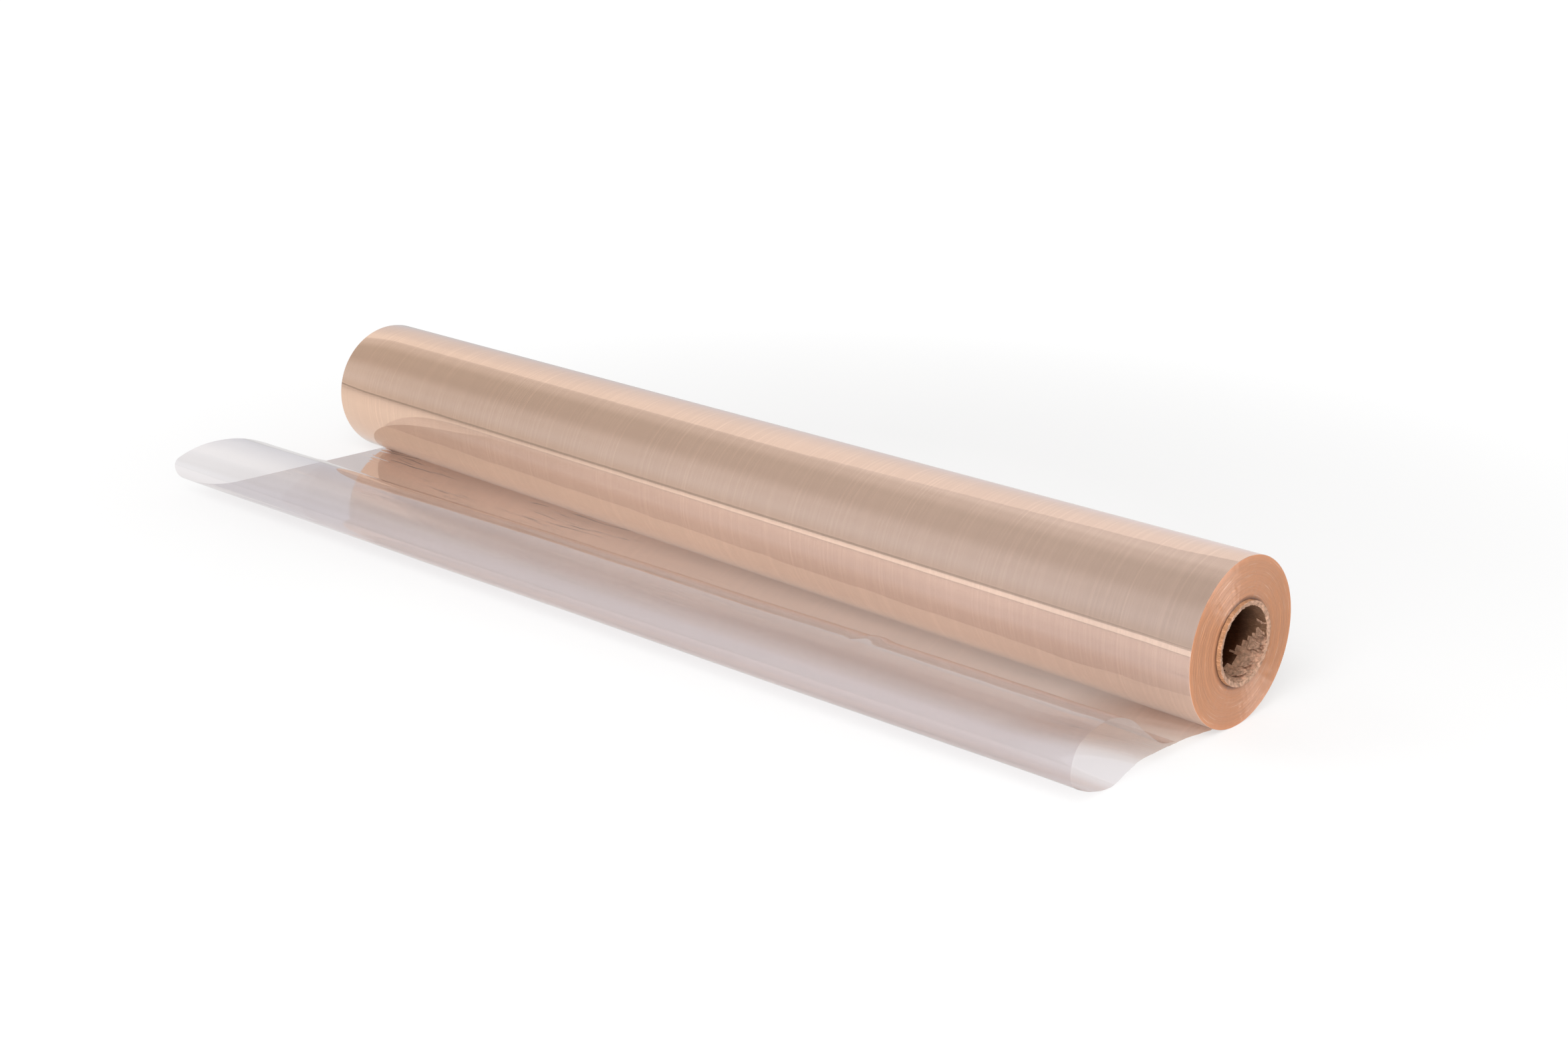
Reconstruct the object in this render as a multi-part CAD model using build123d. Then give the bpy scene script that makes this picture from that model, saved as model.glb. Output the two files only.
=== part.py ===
from build123d import *
from math import cos, radians, sin, sqrt
import os

# A long roll of clear wrapping film on a card core, lying on a table.
# All sizes are in millimetres. The roll lies along X, +Z is up, and the origin is
# the centre of the core's bore at mid length. The film's free end leaves the bottom
# of the roll towards -Y, lies flat, and springs back over itself in a loose loop.

# Card core
core_bore = 38.0            # inside diameter, the usual inch and a half
core_wall = 2.5
core_stand_out = 2.5        # how far the core shows past the film at each end

# Wound film
film_width = 700.0
film_build = 21.9           # depth of the wound turns, from the core to the outside
wind_clearance = 0.05       # between the core and the first turn
flat_spot_width = 8.0       # where the soft roll presses flat on the table
# Each band of turns keeps the film's full width and has crept sideways by this much,
# from the core outwards. The last band hasn't moved, since the free end runs from it.
band_creep = (0.45, -0.3, 0.35, -0.4, 0.25, -0.2, 0.0)

# Free film
film_ply = 0.4              # the free film's modelled thickness
layer_gap = 0.4             # between the free edge and the layer that it rests on

# The loop at the roll's left end (-X) and right end (+X), to the film's outside.
# A reach is measured from the roll's axis, and a height from the table.
left_nose_reach = 173.0     # the loop's foremost point
left_nose_height = 20.0
left_lift_run = 45.0        # from where the film leaves the table to the nose
left_crest_run = 30.0       # from the nose back to the loop's highest point
left_crest_rise = 11.2      # of that point over the nose
left_edge_reach = 61.0      # the free cut edge, back on the flat layer
right_nose_reach = 131.5
right_nose_height = 18.0
right_lift_run = 39.5
right_crest_run = 25.5
right_crest_rise = 17.2
right_edge_reach = 44.0

# The loop's turns, in degrees, shared by both ends so that the film bends only one way
lift_turn = 30.0            # of the slack curve that leaves the table
nose_turn = 65.0            # of the tight curve above the nose
crest_fullness = 0.45       # of the back curve, as a share of its run
edge_slope = 0.35           # fall of the free edge for each millimetre of reach

core_radius = core_bore / 2 + core_wall
roll_radius = core_radius + film_build
flat_spot_depth = roll_radius - sqrt(roll_radius**2 - (flat_spot_width / 2) ** 2)
table = flat_spot_depth - roll_radius


def make_core():
    """A straight paper tube, cut square, a little longer than the film is wide."""
    length = film_width + 2 * core_stand_out
    tube = Cylinder(core_radius, length) - Cylinder(core_bore / 2, length)
    return Rot(0, 90, 0) * tube


def make_wound_film():
    """The wound turns: one stepped outline, with a step for each band, spun about X."""
    inner = core_radius + wind_clearance
    band = (roll_radius - inner) / len(band_creep)
    right_side = []
    left_side = []
    for number, creep in enumerate(band_creep):
        low = inner + number * band
        high = low + band
        right_side += [(film_width / 2 + creep, low), (film_width / 2 + creep, high)]
        left_side += [(-film_width / 2 + creep, low), (-film_width / 2 + creep, high)]
    outline = Plane.XZ * Polyline(*right_side, *reversed(left_side), close=True)
    turns = revolve(make_face(outline), Axis.X, 360)
    return split(turns, bisect_by=Plane.XY.offset(table), keep=Keep.TOP)


def quarter_turn(start, finish, first_turn, upwards):
    """Two tangent arcs that turn the film a quarter round, from start to finish.

    The first arc turns by first_turn degrees and the second by the rest. Their radii
    follow from the run and the rise. Upwards arcs go from level to upright, and the
    others from upright back to level.
    """
    run = abs(finish.X - start.X)
    rise = finish.Y - start.Y
    along, aside = (run, rise) if upwards else (rise, run)
    s = sin(radians(first_turn))
    c = cos(radians(first_turn))
    spread = s * c - (1 - s) * (1 - c)
    first_radius = (along * c - aside * (1 - s)) / spread
    second_radius = (aside * s - along * (1 - c)) / spread
    if upwards:
        heading = Vector(-1, 0)
        joint = start + Vector(-first_radius * s, first_radius * (1 - c))
        turned = Vector(-c, s)
    else:
        heading = Vector(0, 1)
        joint = start + Vector(first_radius * (1 - c), first_radius * s)
        turned = Vector(s, c)
    return [
        TangentArc(start, joint, tangent=heading),
        TangentArc(joint, finish, tangent=turned),
    ]


def loop_side(nose_reach, nose_height, lift_run, crest_run, crest_rise, edge_reach, inset):
    """One face of the free film, seen along X, from the roll to the free edge.

    A straight run on the table, a quarter turn up to the nose, a quarter turn back to
    the crest, and an easy curve down to the free edge. The inset draws the film's
    inner face, that far inside the outer one.
    """
    foot = table + inset
    start = Vector(0, foot)
    lift = Vector(lift_run - nose_reach, foot)
    nose = Vector(inset - nose_reach, table + nose_height)
    crest = Vector(crest_run - nose_reach, table + nose_height + crest_rise - inset)
    edge_height = film_ply + layer_gap + film_ply
    edge = Vector(-edge_reach, table + edge_height - inset)
    back_run = edge.X - crest.X
    crest_handle = Vector(back_run, 0) * crest_fullness
    edge_handle = Vector(-back_run, edge_slope * back_run) * crest_fullness
    return [
        Line(start, lift),
        *quarter_turn(lift, nose, lift_turn, upwards=True),
        *quarter_turn(nose, crest, nose_turn, upwards=False),
        Bezier(crest, crest + crest_handle, edge + edge_handle, edge),
    ]


def loop_section(end_x, *sizes):
    """The free film's cut section at one end, as a face that stands across X."""
    outer = loop_side(*sizes, inset=0.0)
    inner = loop_side(*sizes, inset=film_ply)
    cut_edge = Line(outer[-1] @ 1, inner[-1] @ 1)
    root = Line(inner[0] @ 0, outer[0] @ 0)
    face = make_face([*outer, cut_edge, *inner, root])
    across = Plane(origin=(end_x, 0, 0), x_dir=(0, 1, 0), z_dir=(1, 0, 0))
    return across * face


def make_free_film():
    """The free film: a straight-sided strip ruled from its left section to its right one."""
    left = loop_section(
        -film_width / 2,
        left_nose_reach,
        left_nose_height,
        left_lift_run,
        left_crest_run,
        left_crest_rise,
        left_edge_reach,
    )
    right = loop_section(
        film_width / 2,
        right_nose_reach,
        right_nose_height,
        right_lift_run,
        right_crest_run,
        right_crest_rise,
        right_edge_reach,
    )
    return loft([left.face(), right.face()], ruled=True)


parts = {
    "core_tube": make_core(),
    "wrapping_film": make_wound_film() + make_free_film(),
}

os.makedirs("parts", exist_ok=True)
for name, part in parts.items():
    part.label = name
    export_step(part, f"parts/{name}.step")
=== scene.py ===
import math

import bpy
import numpy as np
from bpy.props import FloatProperty, FloatVectorProperty, PointerProperty
from bpy.types import Operator, Panel, PropertyGroup
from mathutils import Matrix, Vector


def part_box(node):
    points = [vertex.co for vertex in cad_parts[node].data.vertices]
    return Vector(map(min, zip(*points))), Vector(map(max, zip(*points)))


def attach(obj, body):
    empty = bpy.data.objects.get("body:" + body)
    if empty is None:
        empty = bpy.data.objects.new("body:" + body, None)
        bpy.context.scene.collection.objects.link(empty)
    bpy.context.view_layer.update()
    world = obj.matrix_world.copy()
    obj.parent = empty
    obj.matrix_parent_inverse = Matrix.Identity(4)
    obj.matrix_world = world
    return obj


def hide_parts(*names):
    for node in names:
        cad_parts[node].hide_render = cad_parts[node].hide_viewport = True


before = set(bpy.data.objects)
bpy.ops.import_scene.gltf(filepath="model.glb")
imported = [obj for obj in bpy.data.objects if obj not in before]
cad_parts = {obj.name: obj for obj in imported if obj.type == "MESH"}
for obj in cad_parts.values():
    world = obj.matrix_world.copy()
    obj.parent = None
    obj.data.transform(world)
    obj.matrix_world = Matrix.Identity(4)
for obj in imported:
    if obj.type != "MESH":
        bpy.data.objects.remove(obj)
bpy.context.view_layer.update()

bl_info = {
    "name": "Roll of Wrapping Film",
    "version": (1, 0, 0),
    "blender": (4, 5, 0),
    "location": "3D View > Sidebar > Film Roll",
    "description": "Builds a roll of clear wrapping film with its free end looped back over itself",
    "category": "Add Mesh",
}

# Sizes that come from the fixed frame, in metres

FILM_LOW, FILM_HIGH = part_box("wrapping_film")
CORE_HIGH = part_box("core_tube")[1]
TABLE = FILM_LOW[2]
ROLL_RADIUS = FILM_HIGH[2]
CORE_RADIUS = CORE_HIGH[2]

SENSOR_WIDTH = 36.0


# The sizes and colours that a user would change

class RollSizes(PropertyGroup):
    """The wound turns and the card core."""

    film_width: FloatProperty(
        name="Film width", description="Width of the film", default=0.700, unit="LENGTH"
    )
    roll_radius: FloatProperty(
        name="Roll radius", description="Radius of the wound turns", default=ROLL_RADIUS, unit="LENGTH"
    )
    core_radius: FloatProperty(
        name="Core radius", description="Outside radius of the core", default=CORE_RADIUS, unit="LENGTH"
    )
    bore_radius: FloatProperty(
        name="Bore radius", description="Inside radius of the core", default=0.019, unit="LENGTH"
    )
    core_length: FloatProperty(
        name="Core length", description="Length of the core", default=0.705, unit="LENGTH"
    )
    wind_clearance: FloatProperty(
        name="Wind clearance", description="Gap between the core and the first turn",
        default=0.00005, unit="LENGTH",
    )
    band_creep: FloatVectorProperty(
        name="Band creep", description="Sideways creep of each band of turns, from the core outwards",
        default=(0.00012, -0.00008, 0.0001, -0.00011, 0.00008, -0.00006, 0.0), size=7, unit="LENGTH",
    )
    rim_round: FloatProperty(
        name="Rim round", description="Rounding of the outer turns at each end",
        default=0.0003, unit="LENGTH",
    )


class LoopSizes(PropertyGroup):
    """The free film, from the roll's foot to its free edge. Heights are over the table."""

    film_ply: FloatProperty(
        name="Film ply", description="Thickness of the free film", default=0.00012, unit="LENGTH"
    )
    edge_height: FloatProperty(
        name="Edge height", description="Height of the free edge over the table",
        default=0.0009, unit="LENGTH",
    )
    left_nose: FloatVectorProperty(
        name="Left nose", description="Reach and height of the loop's foremost point at the left end",
        default=(0.173, 0.020), size=2, unit="LENGTH",
    )
    left_lift_run: FloatProperty(
        name="Left lift run", description="From where the film leaves the table to the nose",
        default=0.045, unit="LENGTH",
    )
    left_crest: FloatVectorProperty(
        name="Left crest", description="Run and rise from the nose back to the highest point",
        default=(0.030, 0.0112), size=2, unit="LENGTH",
    )
    left_edge_reach: FloatProperty(
        name="Left edge reach", description="Reach of the free edge at the left end",
        default=0.061, unit="LENGTH",
    )
    right_nose: FloatVectorProperty(
        name="Right nose", description="Reach and height of the loop's foremost point at the right end",
        default=(0.1315, 0.018), size=2, unit="LENGTH",
    )
    right_lift_run: FloatProperty(
        name="Right lift run", description="From where the film leaves the table to the nose",
        default=0.0395, unit="LENGTH",
    )
    right_crest: FloatVectorProperty(
        name="Right crest", description="Run and rise from the nose back to the highest point",
        default=(0.0255, 0.0172), size=2, unit="LENGTH",
    )
    right_edge_reach: FloatProperty(
        name="Right edge reach", description="Reach of the free edge at the right end",
        default=0.044, unit="LENGTH",
    )
    lift_turn: FloatProperty(
        name="Lift turn", description="Turn of the slack curve that leaves the table",
        default=math.radians(30.0), subtype="ANGLE",
    )
    nose_turn: FloatProperty(
        name="Nose turn", description="Turn of the tight curve above the nose",
        default=math.radians(65.0), subtype="ANGLE",
    )
    crest_fullness: FloatProperty(
        name="Crest fullness", description="Fullness of the back curve, as a share of its run", default=0.45
    )
    edge_slope: FloatProperty(
        name="Edge slope", description="Fall of the free edge for each metre of reach", default=0.35
    )
    swell_height: FloatProperty(
        name="Swell height", description="Height of the buckle in the lower layer at the right end",
        default=0.0064, unit="LENGTH",
    )
    swell_length: FloatProperty(
        name="Swell length", description="How far the buckle runs in from the right end",
        default=0.085, unit="LENGTH",
    )


class Finishes(PropertyGroup):
    """Colours, as linear light."""

    wound_colour: FloatVectorProperty(
        name="Wound film", description="Side of the wound turns", default=(0.87, 0.642, 0.525),
        size=3, subtype="COLOR",
    )
    edge_colour: FloatVectorProperty(
        name="Film edges", description="Cut edges of the turns, at the roll's ends",
        default=(0.585, 0.21, 0.085), size=3, subtype="COLOR",
    )
    sheet_colour: FloatVectorProperty(
        name="Free film", description="Haze of the free film", default=(0.93, 0.88, 0.87),
        size=3, subtype="COLOR",
    )
    card_colour: FloatVectorProperty(
        name="Card", description="Brown card of the core", default=(0.24, 0.13, 0.075),
        size=3, subtype="COLOR",
    )
    fibre_colour: FloatVectorProperty(
        name="Card fibre", description="Cut and torn card", default=(0.70, 0.43, 0.30),
        size=3, subtype="COLOR",
    )


class Studio(PropertyGroup):
    """Camera, lamps and table."""

    camera_place: FloatVectorProperty(
        name="Camera place", description="Where the camera stands",
        default=(0.8315, -0.7912, 0.3563), size=3, subtype="TRANSLATION",
    )
    camera_turn: FloatVectorProperty(
        name="Camera turn", description="How the camera is turned",
        default=(math.radians(71.76), 0.0, math.radians(44.96)), size=3, subtype="EULER",
    )
    camera_lens: FloatProperty(
        name="Lens", description="Focal length in millimetres, for a 36 mm sensor", default=46.5
    )
    key_power: FloatProperty(
        name="Key lamp", description="Power of the main lamp", default=24.0, unit="POWER"
    )
    fill_power: FloatProperty(
        name="Fill lamp", description="Power of the fill lamp", default=8.0, unit="POWER"
    )
    side_power: FloatProperty(
        name="Side lamp", description="Power of the lamp that shows only as gloss", default=6.5, unit="POWER"
    )
    table_glow: FloatProperty(
        name="Table glow", description="Share of plain white in the table as the camera sees it", default=0.5
    )


# Shapes

def smooth_step(value):
    """0 below 0 and 1 above 1, with the cubic 3 v^2 - 2 v^3 between them."""
    v = np.clip(value, 0.0, 1.0)
    return v * v * (3.0 - 2.0 * v)


def ripples(along, across, wavelength, seed, count=9):
    """An uneven field of about -1 to 1: sines of mixed lengths and seeded directions, added up."""
    rng = np.random.default_rng(seed)
    heading = rng.uniform(0.0, 2.0 * np.pi, count)
    wave = 2.0 * np.pi / (wavelength * rng.uniform(0.6, 1.7, count))
    phase = rng.uniform(0.0, 2.0 * np.pi, count)
    travel_along = np.multiply.outer(along, wave * np.cos(heading))
    travel_across = np.multiply.outer(across, wave * np.sin(heading))
    return np.sin(travel_along + travel_across + phase).sum(axis=-1) / np.sqrt(2.0 * count)


def grid_faces(rows, columns, join_rows=False, join_columns=False):
    """Four-sided faces between neighbours of a rows x columns grid, joined round at the seams asked for."""
    row = np.arange(rows if join_rows else rows - 1)
    column = np.arange(columns if join_columns else columns - 1)
    r, c = np.meshgrid(row, column, indexing="ij")
    r_next = (r + 1) % rows
    c_next = (c + 1) % columns
    corners = [r * columns + c, r_next * columns + c, r_next * columns + c_next, r * columns + c_next]
    return np.stack(corners, axis=-1).reshape(-1, 4)


def outwards(points, faces):
    """Turns the faces round if the closed shape's volume, summed over its faces, comes out negative."""
    a, b, c, d = (points[faces[:, k]] for k in range(4))
    volume = np.einsum("ij,ij->i", a, np.cross(b, c)) + np.einsum("ij,ij->i", a, np.cross(c, d))
    return faces if volume.sum() > 0.0 else faces[:, ::-1]


def mesh_piece(name, points, faces, materials, face_material=None, corner_uv=None):
    """A smooth-shaded mesh object at the origin, from an array of points and one of faces."""
    mesh = bpy.data.meshes.new(name)
    mesh.from_pydata(points.tolist(), [], faces.tolist())
    for material in materials:
        mesh.materials.append(material)
    if face_material is not None:
        mesh.polygons.foreach_set("material_index", np.asarray(face_material, dtype=np.int32))
    if corner_uv is not None:
        layer = mesh.uv_layers.new(name="film_metres")
        layer.data.foreach_set("uv", corner_uv[faces.ravel()].ravel())
    mesh.polygons.foreach_set("use_smooth", np.ones(len(faces), dtype=bool))
    mesh.update()
    piece = bpy.data.objects.new(name, mesh)
    bpy.context.scene.collection.objects.link(piece)
    return piece


def spin(stations, radii, angles):
    """Points at radius r and angle a about X, counted from straight up towards -Y: (x, -r sin a, r cos a)."""
    y = -radii * np.sin(angles)
    z = radii * np.cos(angles)
    return np.stack([np.broadcast_to(stations, y.shape), y, z], axis=-1)


def creep_at(radius, inner, outer, creep):
    """The creep of the band that a radius lies in, eased over a tenth of a band at each step."""
    place = (radius - inner) / (outer - inner) * len(creep)
    band = np.clip(np.floor(place), 0, len(creep) - 1).astype(int)
    following = np.minimum(band + 1, len(creep) - 1)
    share = smooth_step((place - band - 0.9) / 0.1)
    steps = np.array(creep)
    return steps[band] * (1.0 - share) + steps[following] * share


def wound_turns(sizes, columns=288):
    """The wound turns: an outline in the half plane (x, r) carried round X.

    The outline runs out over the right end, back along the side, in over the left end and back
    through the bore. An end's x is half the width plus its band's creep plus fine uneven rings.
    The underside is pressed flat: z is never under the table.
    """
    half = sizes.film_width / 2.0
    inner = sizes.core_radius + sizes.wind_clearance
    outer = sizes.roll_radius
    turn = sizes.rim_round
    spiral_turns = 14.0
    rings = np.linspace(inner, outer - turn, 84)
    quarter = np.linspace(0.0, np.pi / 2.0, 6)
    side = np.linspace(half - turn, -half + turn, 26)[1:-1]
    bore = np.linspace(-half, half, 6)[1:-1]
    x_right = half + creep_at(rings, inner, outer, sizes.band_creep)
    x_left = -half + creep_at(rings, inner, outer, sizes.band_creep)
    rim_r = outer - turn + turn * np.sin(quarter[1:])
    rim_x = half - turn + turn * np.cos(quarter[1:])
    outline_x = np.concatenate([x_right, rim_x, side, -rim_x[::-1], x_left[::-1], bore])
    outline_r = np.concatenate([rings, rim_r, np.full(len(side), outer), rim_r[::-1], rings[::-1],
                                np.full(len(bore), inner)])
    on_end = np.concatenate([np.ones(len(rings)), np.zeros(len(rim_x) * 2 + len(side)), np.ones(len(rings)),
                             np.zeros(len(bore))])
    angle = np.arange(columns) * 2.0 * np.pi / columns
    r, a = np.meshgrid(outline_r, angle, indexing="ij")
    x = np.broadcast_to(outline_x[:, None], r.shape)
    spiral = r + a / (2.0 * np.pi) * (outer - inner) / spiral_turns
    fine = ripples(spiral * 40.0, np.cos(a) * 0.4, 0.05, 11) * 0.00005
    broad = ripples(spiral * 6.0, np.sin(a) * 0.5, 0.05, 12) * 0.00006
    x = x + (fine + broad) * on_end[:, None]
    points = spin(x, r, a)
    points[..., 2] = np.maximum(points[..., 2], TABLE)
    faces = grid_faces(len(outline_x), columns, join_rows=True, join_columns=True)
    left_rows = len(outline_x) - len(bore) - 1 - np.arange(len(rings))
    end_rows = np.concatenate([np.arange(len(rings) + 1), left_rows])
    row_of_face = np.repeat(np.arange(len(outline_x)), columns)
    kinds = np.isin(row_of_face, end_rows).astype(np.int32)
    flat = points.reshape(-1, 3)
    return flat, outwards(flat, faces), kinds


def quarter_turn(start, run, rise, first_turn, upwards, count):
    """Two tangent arcs that turn the film a quarter round: a grid of points, one row for each ruling.

    Upwards arcs go from level to upright and the others from upright back to level. With s and c the
    sine and cosine of the first turn, the radii r1 and r2 solve r1 s + r2 (1 - s) = along and
    r1 (1 - c) + r2 c = aside, where along is the extent in the starting direction.
    """
    along, aside = (run, rise) if upwards else (rise, run)
    s = math.sin(first_turn)
    c = math.cos(first_turn)
    spread = s * c - (1.0 - s) * (1.0 - c)
    first_radius = (along * c - aside * (1.0 - s)) / spread
    second_radius = (aside * s - along * (1.0 - c)) / spread
    early = np.linspace(0.0, first_turn, count)[:, None]
    late = np.linspace(first_turn, np.pi / 2.0, count)[1:, None]
    ahead = np.concatenate([first_radius * np.sin(early),
                            first_radius * s + second_radius * (np.sin(late) - s)])
    beside = np.concatenate([first_radius * (1.0 - np.cos(early)),
                             first_radius * (1.0 - c) + second_radius * (c - np.cos(late))])
    if upwards:
        return start[0] - ahead, start[1] + beside
    return start[0] + beside, start[1] + ahead


def swell_at(reach, height):
    """The buckle in the lower layer: a quarter sine up with the reach, then a cubic fall."""
    rise_length = 0.045
    fall_start = 0.074
    fall_length = 0.028
    rise = np.sin(np.clip(reach / rise_length, 0.0, 1.0) * np.pi / 2.0)
    fall = 1.0 - smooth_step((reach - fall_start) / fall_length)
    return height * rise * fall


def free_film(roll, loop, columns=230):
    """The free film: a grid of x by distance along the film, ruled from its left end to its right end.

    At each x the sizes of the loop are shared out between the two ends, which gives a level run on the
    table, a quarter turn up to the nose, a quarter turn back to the crest, and a cubic from the crest
    down to the free edge. The buckle at the right end, the waves of the free edge and small creases
    are added to that.
    """
    half = roll.film_width / 2.0
    x = np.linspace(-half, half, columns)
    t = (x + half) / (2.0 * half)
    inset = loop.film_ply / 2.0
    foot = TABLE + inset

    def shared(left, right):
        return left + (right - left) * t

    nose_reach = shared(loop.left_nose[0], loop.right_nose[0])
    nose_height = shared(loop.left_nose[1], loop.right_nose[1])
    lift_run = shared(loop.left_lift_run, loop.right_lift_run)
    crest_run = shared(loop.left_crest[0], loop.right_crest[0])
    crest_rise = shared(loop.left_crest[1], loop.right_crest[1])
    edge_reach = shared(loop.left_edge_reach, loop.right_edge_reach)

    lift_y = lift_run - nose_reach
    level = np.linspace(0.0, 1.0, 44)[:-1, None]
    level_y = lift_y * level
    level_z = np.full(level_y.shape, foot)
    up_y, up_z = quarter_turn((lift_y, foot), lift_run - inset, nose_height - inset, loop.lift_turn, True, 15)
    back_y, back_z = quarter_turn((inset - nose_reach, TABLE + nose_height), crest_run - inset,
                                  crest_rise - inset, loop.nose_turn, False, 17)
    crest_y = crest_run - nose_reach
    crest_z = TABLE + nose_height + crest_rise - inset
    edge_y = -edge_reach
    edge_z = np.full(x.shape, TABLE + loop.edge_height - inset)
    back_run = edge_y - crest_y
    handle = back_run * loop.crest_fullness
    s = np.linspace(0.0, 1.0, 52)[1:, None]
    weights = ((1 - s) ** 3, 3 * s * (1 - s) ** 2, 3 * s ** 2 * (1 - s), s ** 3)
    knots_y = (crest_y, crest_y + handle, edge_y - handle, edge_y)
    knots_z = (crest_z, crest_z, edge_z + loop.edge_slope * handle, edge_z)
    fall_y = sum(w * k for w, k in zip(weights, knots_y))
    fall_z = sum(w * k for w, k in zip(weights, knots_z))
    y = np.concatenate([level_y, up_y, back_y[1:], fall_y])
    z = np.concatenate([level_z, up_z, back_z[1:], fall_z])

    rows = len(y)
    fall_rows = len(s)
    back_share = np.zeros(rows)
    back_share[rows - fall_rows:] = s[:, 0]
    upper = np.zeros(rows)
    upper[len(level_y) + len(up_y):] = 1.0
    over_crest = np.zeros(rows)
    over_crest[len(level_y) + len(up_y):] = np.linspace(0.0, 1.0, rows - len(level_y) - len(up_y))
    over_crest = np.sin(over_crest * np.pi) ** 2
    back_share = back_share[:, None]
    over_crest = over_crest[:, None]

    # The crest stands a little fuller at mid length, and the free edge lies in small waves
    z = z + over_crest * 0.0012 * (1.0 - (2.0 * t - 1.0) ** 2)
    edge_wave = ripples(x, x * 0.0, 0.05, 21) * 0.0012 + ripples(x, x * 0.0, 0.014, 22) * 0.0003
    y = y + edge_wave * back_share ** 3
    z = z + np.abs(ripples(x, x * 0.0, 0.03, 23)) * 0.0005 * back_share ** 6

    # The buckle at the right end lifts the lower layer, and the free edge that rests on it
    near_right = smooth_step((x - half) / loop.swell_length + 1.0)
    swell = swell_at(-y, loop.swell_height) * near_right
    lower = (1.0 - upper)[:, None]
    roll_under = -np.sqrt(np.maximum(roll.roll_radius ** 2 - y ** 2, 0.0))
    roof = np.where(-y < 0.03, np.maximum(roll_under - inset, foot) - foot, 1.0)
    swell_low = np.minimum(swell, np.maximum(roof, 0.0))
    y = y - 0.005 * near_right * back_share ** 2
    z = z + swell_low * lower + swell * back_share ** 4 * upper[:, None]

    # Soft creases: shallow along the rulings, a little stronger near the open right end
    down = np.concatenate([[0.0], np.cumsum(np.hypot(np.diff(y[:, 0]), np.diff(z[:, 0])))])
    across = np.broadcast_to(down[:, None], y.shape)
    width = np.broadcast_to(x, y.shape)
    off_table = smooth_step((z - foot) / 0.01)
    soft = ripples(width * 0.35, across, 0.05, 24) * 0.00018
    small = ripples(width * 0.6, across, 0.016, 25) * 0.00006 * (0.3 + 0.7 * near_right)
    z = z + (soft + small) * off_table

    # A small burr in the crest, a third of the way in from the right end
    burr_x = 0.205
    burr_width = 0.0035
    burr_height = 0.0012
    burr = np.exp(-((x - burr_x) / burr_width) ** 2) * over_crest ** 6 * burr_height
    z = z + burr

    # The cut right edge wanders inwards by a millimetre or two
    near_edge = smooth_step((width - half) / 0.012 + 1.0)
    cut_waves = 0.0008 * ripples(across, across * 0.0, 0.035, 27)
    cut_nicks = 0.0003 * ripples(across, across * 0.0, 0.009, 28)
    cut_depth = 0.0010 + cut_waves + cut_nicks
    width = width - near_edge * np.maximum(cut_depth, 0.0)

    points = np.stack([width, y, z], axis=-1)
    lengths = np.hypot(np.diff(y, axis=0), np.diff(z, axis=0)).sum(axis=0)
    uv = np.stack([width, across], axis=-1).reshape(-1, 2)
    faces = grid_faces(rows, columns)[:, ::-1]
    return points.reshape(-1, 3), faces, uv, lengths


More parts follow.
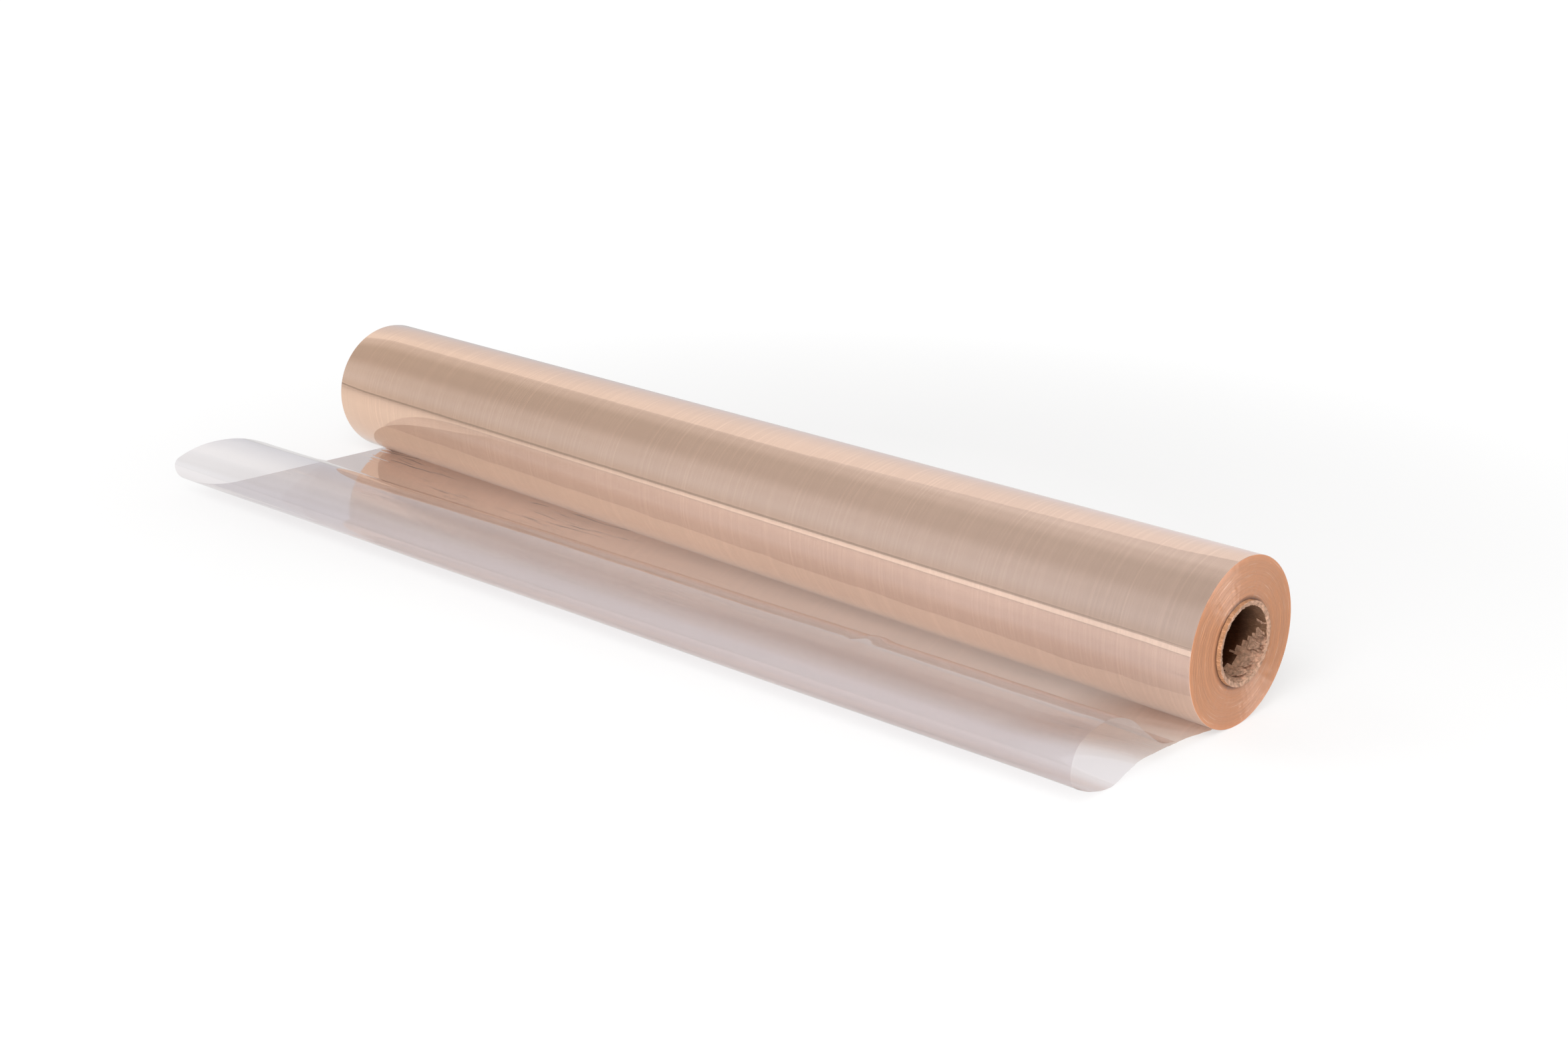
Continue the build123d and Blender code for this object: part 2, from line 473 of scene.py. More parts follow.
def core_tube(roll, columns=224):
    """The card tube: an outline in the half plane (x, r) carried round X, with a helix and torn fibres.

    The outline runs along the outside, in over the right rim, back through the bore and out over the
    left rim. The ply seam is a shallow groove where the angle less 2 pi x / pitch is near nought.
    The rims are roughened along x, and the mouth's lower right is hollowed where a ply has torn away.
    """
    half = roll.core_length / 2.0
    wall = roll.core_radius - roll.bore_radius
    along = np.linspace(-half, half, 26)
    rim = np.linspace(0.0, 1.0, 9)[1:-1]
    near = 1.0 - np.linspace(0.0, 1.0, 64) ** 1.8
    inside = np.concatenate([half * near, -half * near[::-1][1:]])
    inside = np.unique(inside)[::-1]
    outline_x = np.concatenate([along, np.full(len(rim), half), inside, np.full(len(rim), -half)])
    outline_r = np.concatenate([np.full(len(along), roll.core_radius), roll.core_radius - wall * rim,
                                np.full(len(inside), roll.bore_radius), roll.bore_radius + wall * rim])
    angle = np.arange(columns) * 2.0 * np.pi / columns
    x, a = np.meshgrid(outline_x, angle, indexing="ij")
    r = np.broadcast_to(outline_r[:, None], x.shape).copy()
    bore = np.isclose(outline_r, roll.bore_radius)[:, None]
    at_rim = smooth_step((np.abs(x) - half + 0.002) / 0.002)
    inward = (roll.core_radius - r) / wall

    # The ply seam winds through the bore and shows on the outside too
    seam_pitch = 0.075
    seam_depth = 0.0003
    helix = (a - x * 2.0 * np.pi / seam_pitch) % (2.0 * np.pi)
    seam = np.exp(-((helix - np.pi) / 0.06) ** 2)
    r = r + np.where(bore, 1.0, -0.35) * seam * seam_depth * (1.0 - at_rim)

    # Fibres of the cut rims, and the burred inner lip
    round_y = np.sin(a) * r
    round_z = np.cos(a) * r
    fuzz = ripples(round_y, round_z, 0.0022, 31, 14) + 0.6 * ripples(round_y, round_z, 0.0011, 32, 14)
    x = x + np.sign(x) * at_rim * (fuzz * 0.00022 - 0.0002 - 0.0005 * inward ** 2)
    r = r + at_rim * bore * (ripples(a * roll.bore_radius, x * 0.0, 0.003, 33, 12) * 0.00025)

    # The torn part of the bore: lower right of the mouth as seen from the right end
    torn_middle = math.radians(214.0)
    torn_angle = np.cos(a - torn_middle)
    depth_in = half - x
    ragged = ripples(a * roll.bore_radius, x, 0.006, 34, 12)
    reach_in = 0.004 + 0.0085 * smooth_step((torn_angle - 0.5) / 0.4) + 0.0025 * ragged
    torn = smooth_step((torn_angle - 0.5 + 0.12 * ragged) / 0.1)
    torn = torn * (1.0 - smooth_step((depth_in - reach_in) / 0.0012)) * bore * (x > 0)
    shreds = ripples(a * roll.bore_radius, x, 0.0035, 35, 16)
    shreds = shreds + 0.8 * ripples(a * roll.bore_radius, x, 0.0018, 36, 16)
    r = r + torn * (0.0009 + 0.0009 * shreds)
    points = spin(x, r, a).reshape(-1, 3)
    faces = grid_faces(len(outline_x), columns, join_rows=True, join_columns=True)
    row_of_face = np.repeat(np.arange(len(outline_x)), columns)
    rim_rows = np.concatenate([np.arange(len(along) - 1, len(along) + len(rim)),
                               np.arange(len(outline_x) - len(rim) - 1, len(outline_x))])
    kinds = np.isin(row_of_face, rim_rows)
    torn_faces = torn.reshape(-1)[faces].mean(axis=1) > 0.4
    return points, outwards(points, faces), (kinds | torn_faces).astype(np.int32)


def torn_flap(roll, start_angle, end_angle, root_depth, reach, lift, curl, seed, rows=16, columns=26):
    """One torn scrap of the core's inner ply: a patch of the bore that peels off towards the axis.

    With w from 0 at the root to 1 at the tip, its distance out of the bore wall is lift w^curl, its
    x goes from the root depth to the reach, and its tip and sides are cut ragged by seeded ripples.
    It has two faces a card ply apart, closed round the edges.
    """
    w = np.linspace(0.0, 1.0, rows)[:, None]
    v = np.linspace(0.0, 1.0, columns)[None, :]
    ragged = ripples(v * 0.02, w * 0.0, 0.006, seed, 12)
    half = roll.core_length / 2.0
    middle = (start_angle + end_angle) / 2.0
    narrowing = 1.0 - 0.35 * w
    a = middle + (v - 0.5) * (end_angle - start_angle) * narrowing
    a = a + ripples(w * 0.02, v * 0.006, 0.008, seed + 1, 10) * 0.03
    length = reach * (1.0 + 0.35 * ragged)
    x = half - root_depth + length * w
    height = lift * w ** curl * (0.75 + 0.35 * ragged)
    height = height + ripples(w * 0.01 + v * 0.0, v * 0.02, 0.005, seed + 2, 12) * 0.0004 * w
    top, bottom = (spin(x, roll.bore_radius - height - offset, a) for offset in (0.00012, 0.00042))
    ring = np.concatenate([top, bottom[::-1]])
    shape = ring.reshape(-1, 3)
    faces = grid_faces(2 * rows, columns, join_rows=True)
    rim = 2 * rows
    caps = []
    for column in (0, columns - 1):
        rung = np.arange(rows - 1)
        cap = np.stack([rung, rung + 1, rim - 2 - rung, rim - 1 - rung], axis=-1) * columns + column
        caps.append(cap if column else cap[:, ::-1])
    faces = np.concatenate([faces, *caps])
    return shape, outwards(shape, faces)


# Materials

class Nodes:
    """Small helper that adds nodes to one node tree and joins them."""

    def __init__(self, owner):
        owner.use_nodes = True
        self.tree = owner.node_tree

    def add(self, kind, inputs=(), **settings):
        """A node with its settings set; each input is a number, a colour or another node's socket."""
        node = self.tree.nodes.new(kind)
        for key, value in settings.items():
            setattr(node, key, value)
        for key, value in dict(inputs).items():
            self.give(node.inputs[key], value)
        return node

    def give(self, socket, value):
        """Joins a socket to another, or sets its own value."""
        if isinstance(value, bpy.types.NodeSocket):
            self.tree.links.new(value, socket)
        else:
            socket.default_value = value

    def axes(self, source="Object"):
        """The three coordinates, each as a value of its own."""
        where = self.add("ShaderNodeTexCoord")
        return self.add("ShaderNodeSeparateXYZ", {0: where.outputs[source]}).outputs

    def length(self, vector):
        """The length of a vector."""
        return self.add("ShaderNodeVectorMath", {0: vector}, operation="LENGTH").outputs["Value"]

    def place(self, scale, source="Object"):
        """Object or UV coordinates, scaled along each axis."""
        where = self.add("ShaderNodeTexCoord")
        return self.add("ShaderNodeMapping", {"Vector": where.outputs[source], "Scale": scale}).outputs[0]

    def noise(self, vector, scale, detail=3.0, roughness=0.5, warp=0.0):
        """The value of a noise texture."""
        settings = {"Vector": vector, "Scale": scale, "Detail": detail,
                    "Roughness": roughness, "Distortion": warp}
        return self.add("ShaderNodeTexNoise", settings).outputs[0]

    def sum(self, operation, first, second):
        """One sum on two values."""
        return self.add("ShaderNodeMath", {0: first, 1: second}, operation=operation).outputs[0]

    def spread(self, value, low, high, new_low=0.0, new_high=1.0):
        """Maps low..high to new_low..new_high, held at the ends."""
        settings = {"Value": value, "From Min": low, "From Max": high, "To Min": new_low, "To Max": new_high}
        return self.add("ShaderNodeMapRange", settings).outputs[0]

    def blend(self, share, first, second, way="MIX"):
        """Two colours blended by a share."""
        node = self.add("ShaderNodeMix", data_type="RGBA", blend_type=way)
        self.give(node.inputs[0], share)
        self.give(node.inputs[6], first)
        self.give(node.inputs[7], second)
        return node.outputs[2]

    def bump(self, height, distance, strength=1.0, normal=None):
        """The normal after a bump of that height."""
        inputs = {"Height": height, "Distance": distance, "Strength": strength}
        if normal is not None:
            inputs["Normal"] = normal
        return self.add("ShaderNodeBump", inputs).outputs[0]

    def mix(self, share, first, second):
        """Two shaders mixed by a share."""
        return self.add("ShaderNodeMixShader", {0: share, 1: first, 2: second}).outputs[0]


class MaterialNodes(Nodes):
    """The nodes of one new material, with its shader and its output at hand."""

    def __init__(self, name):
        self.material = bpy.data.materials.new(name)
        super().__init__(self.material)
        self.shader = self.tree.nodes["Principled BSDF"]
        self.output = self.tree.nodes["Material Output"]


def colour4(colour, share=1.0):
    """A colour with its alpha, made lighter or darker by a share."""
    return (colour[0] * share, colour[1] * share, colour[2] * share, 1.0)


def wound_film_material(colours):
    """Side of the wound turns: tan, mirror-like, with faint rings of tension and hairlines round the roll.

    The tan is slightly warmer towards the left end: a painted reflection.
    """
    n = MaterialNodes("wound_film")
    broad = n.noise(n.place((6.0, 14.0, 14.0)), 1.0, 2.0)
    bands = n.noise(n.place((90.0, 2.0, 2.0)), 1.0, 2.0)
    lines = n.noise(n.place((620.0, 6.0, 6.0)), 1.0, 3.0, 0.7)
    tone = n.blend(n.spread(broad, 0.35, 0.65), colour4(colours.wound_colour, 0.965),
                   colour4(colours.wound_colour, 1.03))
    tone = n.blend(n.spread(lines, 0.47, 0.75, 0.0, 0.42), tone, colour4(colours.wound_colour, 1.25))
    # Painted reflection: the tan warms towards the left end
    painted_warm_reflection = n.blend(1.0, tone, (1.07, 1.01, 0.92, 1.0), "MULTIPLY")
    tone = n.blend(n.spread(n.axes()[0], -0.35, 0.3, 1.0, 0.0), tone, painted_warm_reflection)
    n.give(n.shader.inputs["Base Color"], tone)
    n.shader.inputs["Metallic"].default_value = 0.75
    n.shader.inputs["IOR"].default_value = 1.5
    n.give(n.shader.inputs["Roughness"], n.spread(bands, 0.3, 0.7, 0.02, 0.045))
    waves = n.noise(n.place((38.0, 14.0, 14.0)), 1.0, 2.0, 0.4)
    scallops = n.noise(n.place((210.0, 32.0, 32.0)), 1.0, 1.0)
    normal = n.bump(waves, 0.00010, 1.0)
    normal = n.bump(scallops, 0.00002, 1.0, normal)
    normal = n.bump(lines, 0.000010, 1.0, normal)
    n.give(n.shader.inputs["Normal"], normal)
    return n.material


def film_edge_material(colours):
    """Cut edges of the turns: orange-tan rings, with a painted glow at the outer rim and painted shade at the
    core.

    The gloss is stretched across the rings, so a lamp shows in them as a pale sector on each side.
    """
    n = MaterialNodes("film_edges")
    where = n.add("ShaderNodeTexCoord").outputs["Object"]
    flat = n.add("ShaderNodeVectorMath", {0: where, 1: (0.0, 1.0, 1.0)}, operation="MULTIPLY").outputs[0]
    radius = n.length(flat)
    ring_line = n.add("ShaderNodeCombineXYZ", {0: radius}).outputs[0]

    def ring_noise(scale, detail):
        """Noise that changes only with the distance from the axis."""
        line = n.add("ShaderNodeMapping", {0: ring_line, "Scale": (scale, 1.0, 1.0)}).outputs[0]
        return n.noise(line, 1.0, detail)

    fine = ring_noise(2600.0, 2.0)
    broad = ring_noise(420.0, 3.0)
    # Painted glow: the outer rim is brighter orange, as if lit through the thin outer turns
    rim = n.sum("POWER", n.spread(radius, 0.0385, 0.0430), 2.0)
    base = colours.edge_colour
    pale = (base[0] * 1.04, base[1] * 1.2, base[2] * 1.35, 1.0)
    tone = n.blend(rim, pale, (0.76, 0.30, 0.13, 1.0))
    tone = n.blend(n.spread(fine, 0.35, 0.7, 0.0, 0.3), tone, (0.80, 0.44, 0.25, 1.0))
    tone = n.blend(n.spread(broad, 0.35, 0.65, 0.14, 0.0), tone, (0.42, 0.20, 0.10, 1.0))
    parts = n.add("ShaderNodeSeparateXYZ", {0: where}).outputs
    turn = n.sum("MULTIPLY", n.sum("ARCTAN2", parts[2], parts[1]), 1.6)
    arc_line = n.add("ShaderNodeCombineXYZ", {0: n.sum("MULTIPLY", radius, 1500.0), 1: turn})
    arcs = n.noise(arc_line.outputs[0], 1.0, 2.0)
    tone = n.blend(n.spread(arcs, 0.63, 0.76, 0.0, 0.5), tone, (0.92, 0.72, 0.56, 1.0))
    # Painted shade: a dark ring round the core, where the core stands out and shades the first turns
    tone = n.blend(n.spread(radius, 0.0217, 0.0238, 1.0, 0.0), tone, (0.14, 0.055, 0.025, 1.0))
    specks = n.noise(n.place((900.0, 900.0, 900.0)), 1.0, 1.0)
    tone = n.blend(n.spread(specks, 0.76, 0.82, 0.0, 0.55), tone, (0.95, 0.85, 0.75, 1.0))
    n.give(n.shader.inputs["Base Color"], tone)
    n.give(n.shader.inputs["Roughness"], n.spread(broad, 0.3, 0.7, 0.42, 0.52))
    n.shader.inputs["Specular IOR Level"].default_value = 0.8
    n.shader.inputs["Anisotropic"].default_value = 0.9
    n.shader.inputs["Anisotropic Rotation"].default_value = 0.25
    rings = n.add("ShaderNodeTangent", direction_type="RADIAL", axis="X")
    n.give(n.shader.inputs["Tangent"], rings.outputs[0])
    n.give(n.shader.inputs["Normal"], n.bump(fine, 0.00006, 0.8))
    return n.material


def free_film_material(colours):
    """One ply of clear film: see-through where it is looked at squarely, mirror-like where it turns away.

    Near the roll it mirrors more, and painted shade from the roll makes it browner there.
    """
    n = MaterialNodes("free_film")
    creases = n.noise(n.place((26.0, 70.0, 1.0), "UV"), 1.0, 3.0, 0.5, 0.6)
    ripple = n.noise(n.place((9.0, 22.0, 1.0), "UV"), 1.0, 2.0, 0.5, 0.4)
    tone = n.blend(n.spread(ripple, 0.35, 0.65), colour4(colours.sheet_colour, 0.95),
                   colour4(colours.sheet_colour, 1.05))
    near_roll = n.spread(n.axes("UV")[1], 0.085, 0.115, 1.0, 0.0)
    # Painted shade: the tone turns browner near the roll
    tone = n.blend(near_roll, tone, n.blend(1.0, tone, (0.93, 0.86, 0.81, 1.0), "MULTIPLY"))
    n.give(n.shader.inputs["Base Color"], tone)
    n.shader.inputs["Metallic"].default_value = 1.0
    n.give(n.shader.inputs["Roughness"], n.spread(creases, 0.3, 0.7, 0.05, 0.11))
    streaks = n.noise(n.place((14.0, 95.0, 1.0), "UV"), 1.0, 2.0, 0.5, 1.2)
    patches = n.noise(n.place((7.0, 16.0, 1.0), "UV"), 1.0, 1.0)
    pulled = n.sum("MULTIPLY", n.spread(streaks, 0.5, 0.75), n.spread(patches, 0.48, 0.62))
    normal = n.bump(creases, 0.00010, 0.6)
    normal = n.bump(n.sum("MULTIPLY", pulled, near_roll), 0.0006, 1.0, normal)
    n.give(n.shader.inputs["Normal"], normal)
    # Painted shade: the see-through tint is browner and darker near the roll
    tint = n.blend(near_roll, (0.900, 0.874, 0.882, 1.0), (0.88, 0.825, 0.785, 1.0))
    clear = n.add("ShaderNodeBsdfTransparent", {"Color": tint}).outputs[0]
    away = n.add("ShaderNodeLayerWeight", {"Blend": 0.5}).outputs["Facing"]
    gain = n.spread(near_roll, 0.0, 1.0, 1.0, 2.3)
    share = n.sum("ADD", 0.07, n.sum("MULTIPLY", gain, n.sum("POWER", away, 3.2)))
    share = n.sum("MINIMUM", share, 0.9)
    n.give(n.output.inputs["Surface"], n.mix(share, clear, n.shader.outputs[0]))
    return n.material


def card_material(colours, cut):
    """Brown card of the core or its paler cut and torn fibre, with painted shade deep in the bore."""
    n = MaterialNodes("card_fibre" if cut else "card")
    base = colours.fibre_colour if cut else colours.card_colour
    mottle_scale = (480.0, 480.0, 480.0) if cut else (160.0, 160.0, 160.0)
    fibre_scale = (900.0, 900.0, 900.0) if cut else (420.0, 1500.0, 1500.0)
    mottle = n.noise(n.place(mottle_scale), 1.0, 4.0, 0.6)
    fibre = n.noise(n.place(fibre_scale), 1.0, 4.0, 0.7)
    tone = n.blend(n.spread(mottle, 0.35, 0.65), colour4(base, 0.62 if cut else 0.82), colour4(base, 1.15))
    tone = n.blend(n.spread(fibre, 0.5, 0.8, 0.0, 0.5), tone, colour4(colours.fibre_colour, 1.1))
    tone = n.blend(n.spread(fibre, 0.45, 0.25, 0.0, 0.45), tone, colour4(colours.card_colour, 0.6))
    parts = n.axes()
    depth = n.sum("ABSOLUTE", parts[0], 0.0)
    if not cut:
        painted_bore_shade = n.blend(1.0, tone, (0.22, 0.12, 0.07, 1.0), "MULTIPLY")
        kraft_painted_lit = n.blend(1.0, tone, (2.1, 1.9, 1.7, 1.0), "MULTIPLY")
        radius = n.length(n.add("ShaderNodeCombineXYZ", {1: parts[1], 2: parts[2]}).outputs[0])
        # Painted shade: darker with depth into the bore
        tone = n.blend(n.spread(depth, 0.350, 0.336), tone, painted_bore_shade)
        # Painted light: the core's outside is lifted lighter and warmer, as lit by the film
        tone = n.blend(n.spread(radius, 0.0200, 0.0208), tone, kraft_painted_lit)
    else:
        # Painted shade: the torn fibre darkens with depth into the bore
        painted_bore_shade = n.blend(1.0, tone, (0.85, 0.80, 0.75, 1.0), "MULTIPLY")
        tone = n.blend(n.spread(depth, 0.349, 0.340), tone, painted_bore_shade)
    n.give(n.shader.inputs["Base Color"], tone)
    n.give(n.shader.inputs["Roughness"], n.spread(mottle, 0.3, 0.7, 0.82, 0.95))
    n.shader.inputs["Specular IOR Level"].default_value = 0.25
    height = n.sum("ADD", n.sum("MULTIPLY", mottle, 0.5), fibre)
    n.give(n.shader.inputs["Normal"], n.bump(height, 0.0004 if cut else 0.00015, 0.8))
    return n.material


def table_material(glow):
    """White table: lit plainly, and to the camera and in mirrors part plain white, so shadows still show."""
    n = MaterialNodes("white_table")
    grain = n.noise(n.place((3.0, 3.0, 3.0)), 1.0, 2.0)
    tone = n.blend(n.spread(grain, 0.3, 0.7), (0.89, 0.89, 0.89, 1.0), (0.91, 0.91, 0.91, 1.0))
    n.give(n.shader.inputs["Base Color"], tone)
    n.shader.inputs["Roughness"].default_value = 0.9
    n.shader.inputs["Specular IOR Level"].default_value = 0.0
    where = n.add("ShaderNodeTexCoord").outputs["Object"]
    away = n.length(where)
    parts = n.add("ShaderNodeSeparateXYZ", {0: where}).outputs
    sides = parts[0]
    front = parts[1]
    path = n.add("ShaderNodeLightPath")
    to_camera = path.outputs["Is Camera Ray"]
    in_mirror = path.outputs["Is Glossy Ray"]
    past_edge = n.sum("MULTIPLY", n.spread(front, -0.79, -0.77, 1.0, 0.0), in_mirror)
    room = n.blend(past_edge, (1.0, 1.0, 1.0, 1.0), (0.52, 0.51, 0.50, 1.0))
    white = n.add("ShaderNodeEmission", {"Color": room})
    # Painted pool of light: in mirrors the table's white is dimmer to the left, the front and the right
    painted_light_pool = n.spread(sides, -0.95, -0.15, 0.5, 0.92)
    painted_light_pool = n.sum("MULTIPLY", painted_light_pool, n.spread(front, -0.7, -0.25, 0.88, 1.0))
    painted_light_pool = n.sum("MULTIPLY", painted_light_pool, n.spread(sides, 0.0, 0.4, 1.0, 0.88))
    n.give(white.inputs["Strength"], n.spread(in_mirror, 0.0, 1.0, 1.08, painted_light_pool))
    seen = n.sum("MAXIMUM", to_camera, in_mirror)
    seen = n.sum("MAXIMUM", seen, path.outputs["Is Transmission Ray"])
    mirrored = n.spread(front, -0.16, -0.03, 0.88, 0.5)
    near = n.spread(in_mirror, 0.0, 1.0, glow, mirrored)
    far_seen = n.sum("MULTIPLY", n.spread(away, 0.3, 0.8), to_camera)
    far = n.sum("MAXIMUM", n.spread(away, 0.5, 1.1), far_seen)
    share = n.sum("ADD", near, n.sum("MULTIPLY", far, n.sum("SUBTRACT", 1.0, near)))
    share = n.sum("MULTIPLY", seen, share)
    n.give(n.output.inputs["Surface"], n.mix(share, n.shader.outputs[0], white.outputs[0]))
    return n.material


def backdrop_material():
    """White backdrop behind the roll, dimmer and cooler towards the table, and dimmer to the left."""
    n = MaterialNodes("white_backdrop")
    parts = n.axes()
    foot = n.spread(parts[0], -1.3, -0.4, 0.59, 0.80)
    rise = n.spread(parts[2], 0.1, 0.8)
    level = n.sum("ADD", foot, n.sum("MULTIPLY", rise, n.sum("SUBTRACT", 0.83, foot)))
    tone = n.blend(rise, (0.99, 0.99, 1.05, 1.0), (1.0, 0.99, 0.98, 1.0))
    white = n.add("ShaderNodeEmission", {"Color": tone, "Strength": level})
    n.give(n.output.inputs["Surface"], white.outputs[0])
    return n.material


# Operators

class FILM_OT_stage(Operator):
    """Adds the white table, the bright backdrop, the lamps, the world and the camera"""

    bl_idname = "film_roll.stage"
    bl_label = "Set the Stage"

    def execute(self, context):
        studio = context.scene.film_studio
        table_reach = 9.0
        film_gap = 0.00003
        edge = np.linspace(-table_reach, table_reach, 5)
        x, y = np.meshgrid(edge, edge, indexing="ij")
        points = np.stack([x, y, np.full(x.shape, TABLE - film_gap)], axis=-1).reshape(-1, 3)
        faces = grid_faces(len(edge), len(edge))
        table = mesh_piece("table_top", points, faces, [table_material(studio.table_glow)])

        plan = np.array([(-3.2, 0.5), (-1.18, 0.5), (-0.64, 1.08), (0.6, 2.5), (2.4, 4.5)])
        height = np.linspace(TABLE, 1.3, 9)
        x, z = np.meshgrid(plan[:, 0], height, indexing="ij")
        y = np.broadcast_to(plan[:, 1:], x.shape)
        points = np.stack([x, y, z], axis=-1).reshape(-1, 3)
        faces = grid_faces(len(plan), len(height))
        backdrop = mesh_piece("backdrop", points, faces, [backdrop_material()])
        backdrop.visible_camera = False
        backdrop.visible_diffuse = False
        backdrop.visible_shadow = False

        self.add_world(context)
        self.add_lamp("key_lamp", studio.key_power, (0.75, -1.15, 1.0), (0.05, -0.05, 0.0), 1.1)
        self.add_lamp("fill_lamp", studio.fill_power, (-1.3, -0.9, 1.2), (0.0, 0.0, 0.0), 1.4)
        self.add_lamp("side_lamp", studio.side_power, (1.37, 0.62, 0.20), (0.35, 0.0, 0.0), 0.45, True)

        camera = bpy.data.objects.new("camera", bpy.data.cameras.new("camera"))
        camera.location = studio.camera_place
        camera.rotation_euler = studio.camera_turn
        camera.data.lens = studio.camera_lens
        camera.data.sensor_width = SENSOR_WIDTH
        context.scene.collection.objects.link(camera)
        context.scene.camera = camera
        context.scene.view_settings.view_transform = "Standard"
        return {"FINISHED"}

    @staticmethod
    def add_lamp(name, power, place, target, size, only_gloss=False):
        """A square soft lamp that points at a target. It isn't seen in gloss, or is seen only there."""
        lamp = bpy.data.objects.new(name, bpy.data.lights.new(name, "AREA"))
        lamp.data.energy = power
        lamp.data.size = size
        lamp.location = place
        aim = np.array(target) - np.array(place)
        lamp.rotation_euler = (math.acos(-aim[2] / np.linalg.norm(aim)), 0.0, math.atan2(-aim[0], aim[1]))
        lamp.visible_glossy = only_gloss
        lamp.visible_diffuse = not only_gloss
        bpy.context.scene.collection.objects.link(lamp)

    @staticmethod
    def add_world(context):
        """Studio world: white to the camera, and for light and mirrors a room that is darkest overhead."""
        world = bpy.data.worlds.new("studio")
        context.scene.world = world
        n = Nodes(world)
        parts = n.axes("Generated")
        share = n.spread(n.sum("ARCTAN2", parts[2], parts[1]), 0.0, math.pi)
        ramp = n.add("ShaderNodeValToRGB", {"Fac": share})

        # Share of the half turn from the back, over the top, to the front, and the light there
        stops = (
            (0.0, (0.62, 0.62, 0.62)),
            (0.35, (0.60, 0.60, 0.60)),
            (0.42, (0.45, 0.44, 0.43)),
            (0.54, (0.29, 0.275, 0.255)),
            (0.66, (0.27, 0.255, 0.24)),
            (0.80, (0.385, 0.395, 0.41)),
            (0.90, (0.42, 0.44, 0.47)),
            (1.0, (0.38, 0.375, 0.37)),
        )
        ramp.color_ramp.interpolation = "EASE"
        for number, (place, level) in enumerate(stops):
            if number in (0, len(stops) - 1):
                point = ramp.color_ramp.elements[0 if number == 0 else -1]
            else:
                point = ramp.color_ramp.elements.new(place)
            point.position = place
            point.color = (*level, 1.0)
        plain = n.tree.nodes["Background"]
        n.give(plain.inputs["Color"], ramp.outputs[0])
        n.give(plain.inputs["Strength"], n.spread(parts[0], -0.85, -0.45, 1.22, 0.95))
        white = n.add("ShaderNodeBackground", {"Color": (1.0, 1.0, 1.0, 1.0)}).outputs[0]
        seen = n.add("ShaderNodeLightPath").outputs["Is Camera Ray"]
        n.give(n.tree.nodes["World Output"].inputs["Surface"], n.mix(seen, plain.outputs[0], white))


class FILM_OT_wound_film(Operator):
    """Adds the wound turns, with their ringed ends"""

    bl_idname = "film_roll.wound_film"
    bl_label = "Wound Film"

    def execute(self, context):
        scene = context.scene
        points, faces, kinds = wound_turns(scene.film_roll_sizes)
        materials = [wound_film_material(scene.film_finishes), film_edge_material(scene.film_finishes)]
        piece = mesh_piece("wound_turns", points, faces, materials, kinds)
        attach(piece, "root")
        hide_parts("wrapping_film")
        return {"FINISHED"}


class FILM_OT_free_film(Operator):
    """Adds the free end of the film, laid out and looped back over itself"""

    bl_idname = "film_roll.free_film"
    bl_label = "Free Film"

    def execute(self, context):
        scene = context.scene
        roll = scene.film_roll_sizes
        points, faces, uv, lengths = free_film(roll, scene.film_loop_sizes)
        piece = mesh_piece("free_film", points, faces, [free_film_material(scene.film_finishes)], None, uv)
        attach(piece, "root")
        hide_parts("wrapping_film")
        return {"FINISHED"}


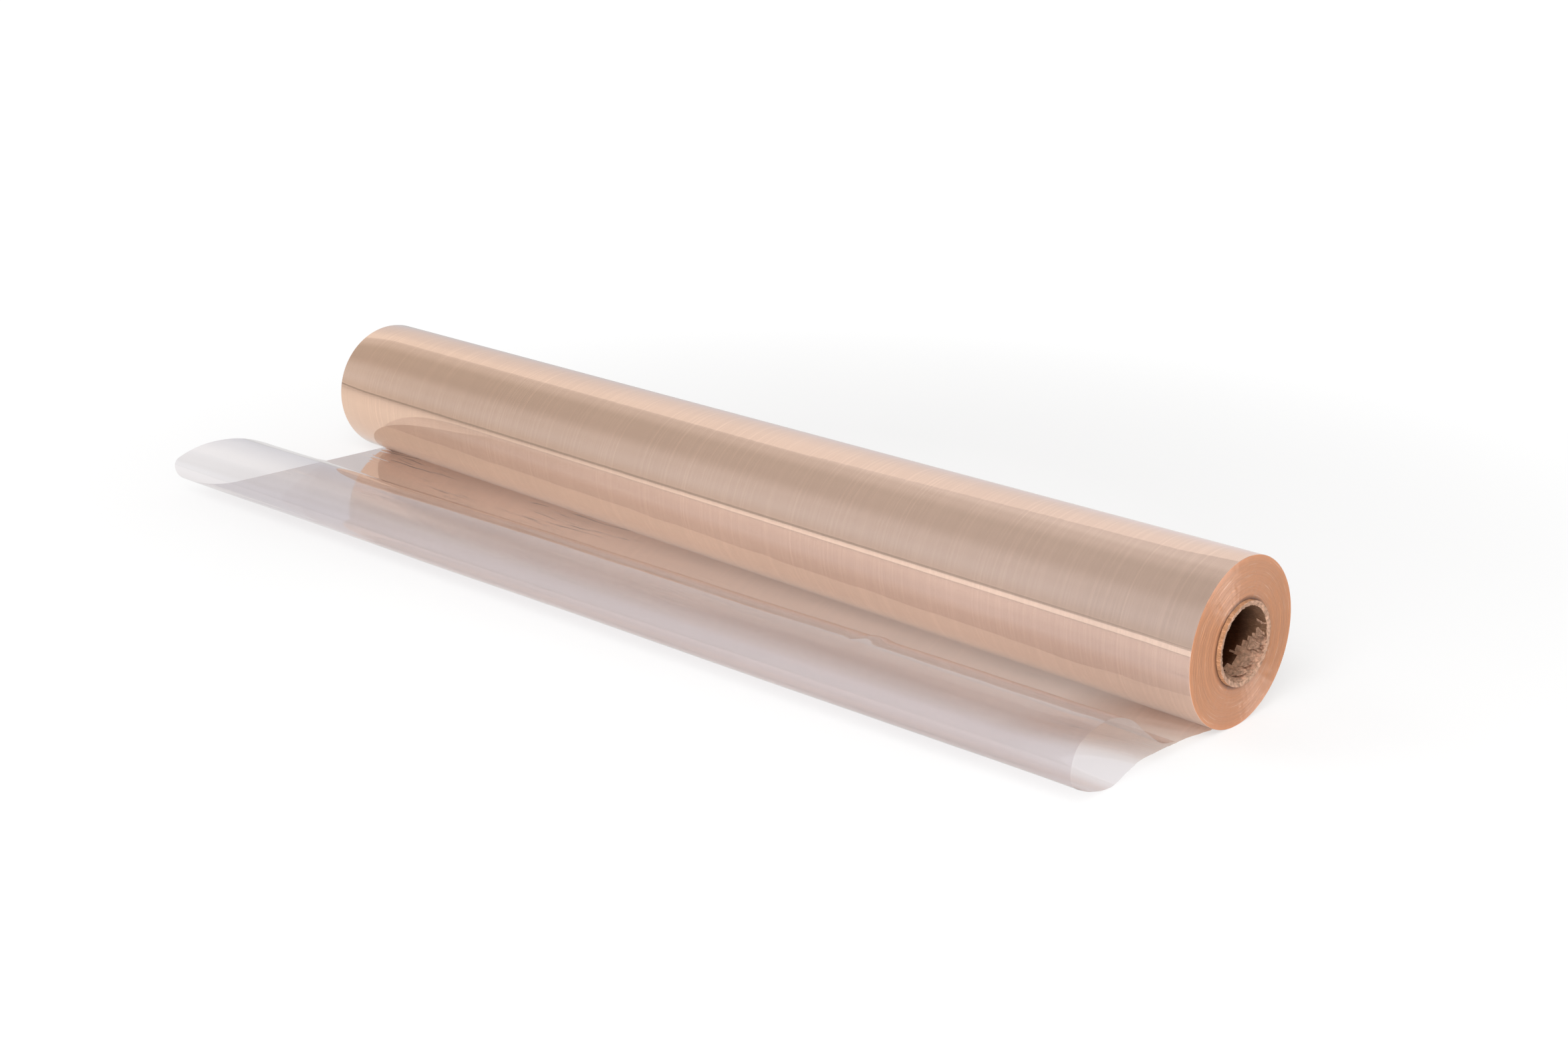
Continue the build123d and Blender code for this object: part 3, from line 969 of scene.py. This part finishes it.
class FILM_OT_core(Operator):
    """Adds the card core, with its ply seam, rough rims and torn mouth"""

    bl_idname = "film_roll.core"
    bl_label = "Card Core"

    def execute(self, context):
        scene = context.scene
        colours = scene.film_finishes
        roll = scene.film_roll_sizes
        card = card_material(colours, False)
        fibre = card_material(colours, True)
        points, faces, kinds = core_tube(roll)
        piece = mesh_piece("card_core", points, faces, [card, fibre], kinds)
        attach(piece, "root")
        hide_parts("core_tube")

        # Each flap: start and end angle, root depth, reach, lift, curl and seed
        flaps = (
            (208.0, 230.0, 0.0085, 0.0065, 0.0034, 1.6, 41),
            (240.0, 258.0, 0.0095, 0.0075, 0.0030, 1.8, 44),
            (184.0, 202.0, 0.0075, 0.0055, 0.0020, 1.5, 47),
            (262.0, 276.0, 0.0065, 0.0052, 0.0026, 1.5, 53),
            (286.0, 291.0, 0.0060, 0.0048, 0.0016, 1.3, 50),
        )
        shapes = []
        shape_faces = []
        count = 0
        for start, end, depth, reach, lift, curl, seed in flaps:
            sector = (math.radians(start), math.radians(end))
            shape, patch = torn_flap(roll, *sector, depth, reach, lift, curl, seed)
            shapes.append(shape)
            shape_faces.append(patch + count)
            count += len(shape)
        torn = mesh_piece("torn_card", np.concatenate(shapes), np.concatenate(shape_faces), [fibre])
        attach(torn, "root")
        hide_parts("core_tube")
        return {"FINISHED"}


class FILM_PT_panel(Panel):
    """Lists the pieces of the roll"""

    bl_idname = "FILM_PT_panel"
    bl_label = "Film Roll"
    bl_space_type = "VIEW_3D"
    bl_region_type = "UI"
    bl_category = "Film Roll"

    def draw(self, context):
        for operator in OPERATORS:
            self.layout.operator(operator.bl_idname)


OPERATORS = (FILM_OT_stage, FILM_OT_wound_film, FILM_OT_free_film, FILM_OT_core)
GROUPS = {
    "film_roll_sizes": RollSizes,
    "film_loop_sizes": LoopSizes,
    "film_finishes": Finishes,
    "film_studio": Studio,
}


def register():
    """Adds the operators, the panel and the groups of sizes."""
    for kind in (*GROUPS.values(), *OPERATORS, FILM_PT_panel):
        bpy.utils.register_class(kind)
    for name, group in GROUPS.items():
        setattr(bpy.types.Scene, name, PointerProperty(type=group))


def unregister():
    """Takes them away again."""
    for name in GROUPS:
        delattr(bpy.types.Scene, name)
    for kind in reversed((*GROUPS.values(), *OPERATORS, FILM_PT_panel)):
        bpy.utils.unregister_class(kind)


def main():
    register()
    bpy.ops.film_roll.stage()
    bpy.ops.film_roll.wound_film()
    bpy.ops.film_roll.free_film()
    bpy.ops.film_roll.core()


if __name__ == "__main__":
    main()
